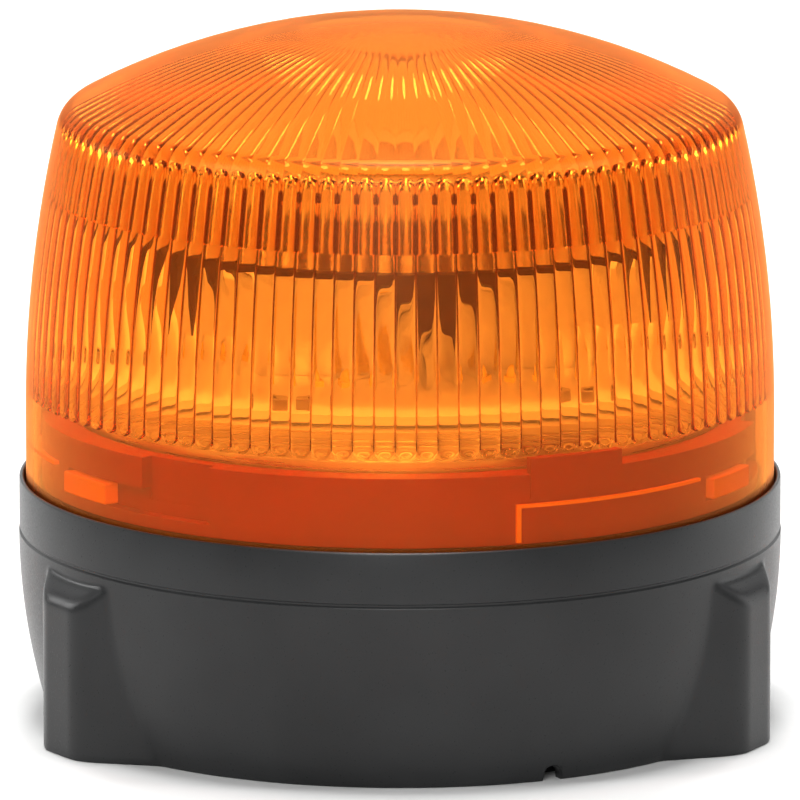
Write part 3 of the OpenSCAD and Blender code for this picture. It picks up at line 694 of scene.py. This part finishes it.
def amber(name, milk, tone, glow, density, absorb, roughness=0.02):
    """Clear coloured plastic with absorption by depth, a little milkiness and hardly any shadow.

    Its outer face reflects softly and in its own colour, and its inner face reflects sharply.
    """
    material, tree = blank(name)
    relief = wire(tree, "Bump", {"Height": noise(tree, 90.0, 2.0), "Distance": 0.02 * MM, "Strength": 1.0})
    normal = relief.outputs["Normal"]
    rough = swing(tree, noise(tree, 220.0), roughness, roughness + 0.03)
    inputs = {"Color": (*tone, 1), "Roughness": rough, "IOR": AMBER_IOR, "Normal": normal}
    bend = wire(tree, "BsdfRefraction", inputs).outputs["BSDF"]
    side = wire(tree, "NewGeometry").outputs["Backfacing"]
    sheen = wire(tree, "Mix", {"Factor": side, 6: AMBER_SHEEN, 7: PALE_AMBER}, data_type="RGBA").outputs[2]
    inputs = {"Value": side, "To Min": AMBER_SHEEN_ROUGHNESS, "To Max": roughness}
    soft = wire(tree, "MapRange", inputs).outputs["Result"]
    shine = wire(tree, "BsdfGlossy", {"Color": sheen, "Roughness": soft, "Normal": normal}).outputs["BSDF"]
    share = wire(tree, "Fresnel", {"IOR": AMBER_IOR, "Normal": normal}).outputs["Fac"]
    glass = wire(tree, "MixShader", {0: share, 1: bend, 2: shine}).outputs["Shader"]
    cloud = wire(tree, "BsdfDiffuse", {"Color": (*glow, 1), "Normal": normal}).outputs["BSDF"]
    body = wire(tree, "MixShader", {0: milk, 1: glass, 2: cloud}).outputs["Shader"]
    lit = wire(tree, "BsdfTransparent", {"Color": PALE_AMBER}).outputs["BSDF"]
    shadow = wire(tree, "LightPath").outputs["Is Shadow Ray"]
    mix = wire(tree, "MixShader", {0: shadow, 1: body, 2: lit}).outputs["Shader"]
    depth = wire(tree, "VolumeAbsorption", {"Color": (*absorb, 1), "Density": density}).outputs["Volume"]
    output(tree, mix, depth)
    return material


def metallised():
    """The reflector's finish: bright metal in the scoops and on top, dark and not metallic at the outer
    face.
    """
    material, tree = blank("reflector_metallised")
    place = wire(tree, "TexCoord").outputs["Object"]
    flat = wire(tree, "VectorMath", {0: place, 1: (1, 1, 0)}, operation="MULTIPLY").outputs["Vector"]
    reach = wire(tree, "VectorMath", {0: flat}, operation="LENGTH").outputs["Value"]
    limit = (REFLECTOR_R - OUTER_FACE_DEPTH) * MM
    # Past this radius, on the outer face between the scoops, the finish is dark and not metallic.
    outer_face = wire(tree, "Math", {0: reach, 1: limit}, operation="GREATER_THAN").outputs["Value"]
    patches = noise(tree, 120.0)
    bright = tint(tree, patches, (0.86, 0.86, 0.86), (0.95, 0.95, 0.95))
    dark = tint(tree, noise(tree, 300.0), (0.03, 0.014, 0.01), (0.05, 0.024, 0.018))
    relief = wire(tree, "Bump", {"Height": noise(tree, 500.0), "Distance": 0.05 * MM, "Strength": 1.0})
    body = wire(tree, "BsdfPrincipled", {
        "Base Color": wire(tree, "Mix", {"Factor": outer_face, 6: bright, 7: dark}, data_type="RGBA").outputs[2],
        "Metallic": wire(tree, "MapRange", {"Value": outer_face, "To Min": 1.0, "To Max": 0.0}).outputs["Result"],
        "Roughness": swing(tree, patches, 0.08, 0.16),
        "Normal": relief.outputs["Normal"],
    })
    output(tree, body.outputs["BSDF"])
    return material


LENS = amber(
    "amber_lens", milk=0.03, tone=(1.0, 0.82, 0.57), glow=(0.95, 0.2, 0.02),
    density=400.0, absorb=(0.925, 0.625, 0.0),
)
TAB = amber(
    "amber_tabs", milk=0.6, tone=(1.0, 0.8, 0.4), glow=(0.95, 0.42, 0.06),
    density=200.0, absorb=(0.925, 0.625, 0.0), roughness=0.2,
)

# Every solid finish, under the name of its slot in the record.
SOLID_FINISHES = {
    "base_plastic": dict(
        colour=(0.019, 0.0195, 0.02), roughness=0.33, shade=0.22, patch=34.0, grain=2600.0, depth=0.012,
        Specular_IOR_Level=0.25,
    ),
    "insert_brass": dict(colour=(0.72, 0.5, 0.2), roughness=0.32, Metallic=1.0, stretch=(1, 1, 6)),
    "seal_rubber": dict(colour=(0.022, 0.022, 0.022), roughness=0.72, depth=0.02),
    "cover_plastic": dict(colour=(0.022, 0.022, 0.024), roughness=0.5, grain=2000.0, depth=0.015),
    "screw_steel": dict(colour=(0.62, 0.62, 0.63), roughness=0.28, Metallic=1.0),
    "ring_plastic": dict(colour=(0.25, 0.01, 0.012), roughness=0.35, Specular_IOR_Level=0.15),
    "grommet_rubber": dict(colour=(0.02, 0.02, 0.02), roughness=0.66, depth=0.02),
    "vent_plastic": dict(colour=(0.07, 0.07, 0.075), roughness=0.5),
    "green_board": dict(colour=(0.02, 0.16, 0.05), roughness=0.38, shade=0.3, patch=220.0, Coat_Weight=0.3),
    "spacer_brass": dict(colour=(0.76, 0.56, 0.25), roughness=0.3, Metallic=1.0),
    "ferrite": dict(colour=(0.08, 0.085, 0.08), roughness=0.6, depth=0.03),
    "copper_wire": dict(colour=(0.75, 0.3, 0.12), roughness=0.25, Metallic=1.0, Coat_Weight=0.4),
    "capacitor_sleeve": dict(colour=(0.03, 0.04, 0.11), roughness=0.35),
    "chip_epoxy": dict(colour=(0.025, 0.025, 0.027), roughness=0.55, depth=0.02),
    "terminal_plastic": dict(colour=(0.05, 0.3, 0.1), roughness=0.42),
    "selector_blue": dict(colour=(0.03, 0.08, 0.3), roughness=0.4),
    "selector_white": dict(colour=(0.82, 0.82, 0.78), roughness=0.42),
    "turned_aluminium": dict(
        colour=(0.86, 0.86, 0.85), roughness=0.3, stretch=(0.02, 0.02, 1), grain=2500.0, depth=0.02,
        Metallic=0.9,
    ),
    "pad_silicone": dict(colour=(0.42, 0.48, 0.52), roughness=0.6),
    "white_board": dict(colour=(0.86, 0.86, 0.84), roughness=0.4, shade=0.04, Coat_Weight=0.3),
    "led_phosphor": dict(colour=(0.95, 0.72, 0.18), roughness=0.3, Coat_Weight=0.6),
    "screw_black": dict(colour=(0.45, 0.42, 0.38), roughness=0.35, Metallic=0.9),
    "cap_plastic": dict(colour=(0.82, 0.82, 0.83), roughness=0.14, Metallic=1.0, rough_swing=0.03),
    "connector_plastic": dict(colour=(0.85, 0.84, 0.78), roughness=0.42),
    "lead_red_pvc": dict(colour=(0.55, 0.03, 0.02), roughness=0.4),
    "lead_black_pvc": dict(colour=(0.02, 0.02, 0.02), roughness=0.42),
}
FINISHES = {name: finish(name, **values) for name, values in SOLID_FINISHES.items()}
FINISHES["amber_lens"] = LENS
FINISHES["reflector_metallised"] = metallised()


def dress_nodes():
    """Gives every CAD node that stays in view the finish of its slot in the record."""
    for part in frame["record"]["subparts"]:
        mesh = frame["nodes"][part["node"]].data
        mesh.materials.clear()
        mesh.materials.append(FINISHES[part["material_slot"]])


# ---- stage ----

FLOOR_RADII = (0.01, 100, 300, 1000, 6000)
FLOOR_COLUMNS = 96
WORLD_STRENGTH = 0.08


def add_floor():
    material = finish("floor", (0.68, 0.68, 0.675), 0.7, shade=0.01, patch=3.0, grain=300.0, depth=0.05)
    turns = np.arange(FLOOR_COLUMNS) * 360 / FLOOR_COLUMNS
    rows = [np.column_stack([*polar(r, turns), np.zeros(FLOOR_COLUMNS)]) for r in FLOOR_RADII]
    floor = add_mesh("floor", np.vstack(rows), grid_faces(len(rows), FLOOR_COLUMNS, True))
    floor.data.materials.append(material)


def add_light(name, azimuth, elevation, distance, size, power, width=None, mirrored=True):
    """An area light aimed at the object: angles in degrees, distance and size in metres, power in watts."""
    data = bpy.data.lights.new(name, "AREA")
    data.shape = "RECTANGLE" if width else "DISK"
    data.size = width or size
    data.size_y = size
    data.energy = power
    light = bpy.data.objects.new(name, data)
    light.visible_glossy = mirrored
    towards = direction(math.radians(azimuth), math.radians(elevation))
    aim_object(light, AIM + distance * towards, AIM)


def add_lights():
    """Soft light from above, behind and in front, and small lights for edges and the flutes' ends."""
    world = bpy.data.worlds.new("studio")
    world.use_nodes = True
    background = world.node_tree.nodes["Background"]
    background.inputs["Color"].default_value = (1, 1, 1, 1)
    background.inputs["Strength"].default_value = WORLD_STRENGTH
    bpy.context.scene.world = world
    add_light("overhead", 180, 88, 8.0, 2.2, 540)
    add_light("backdrop", 180, 32, 3.5, 3.5, 76, width=6.0)
    add_light("front", -8, 26, 3.5, 1.8, 70)
    add_light("left", -70, 40, 2.5, 0.4, 16)
    add_light("right", 75, 42, 2.5, 0.4, 12)
    add_light("edge", -115, 16, 2.5, 0.5, 10)
    add_light("back_left", -153, 32, 2.5, 0.45, 20, mirrored=False)
    add_light("back", 180, 46, 3.0, 0.4, 22, mirrored=False)
    add_light("back_right", 150, 29, 2.5, 0.45, 18, mirrored=False)
    add_light("card", 110, 8, 2.5, 1.4, 9)
    bpy.context.scene.view_settings.view_transform = "Standard"


add_camera()
add_lights()
add_floor()
dress_nodes()
for piece, finish_used in zip(lens_parts(), (LENS, TAB, TAB)):
    piece.data.materials.append(finish_used)
    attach(piece, "lens")
reflector = reflector_mesh()
reflector.data.materials.append(FINISHES["reflector_metallised"])
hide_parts("reflector")
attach(reflector, "base")
housing = housing_mesh()
housing.data.materials.append(FINISHES["base_plastic"])
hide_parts("base_housing")
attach(housing, "base")
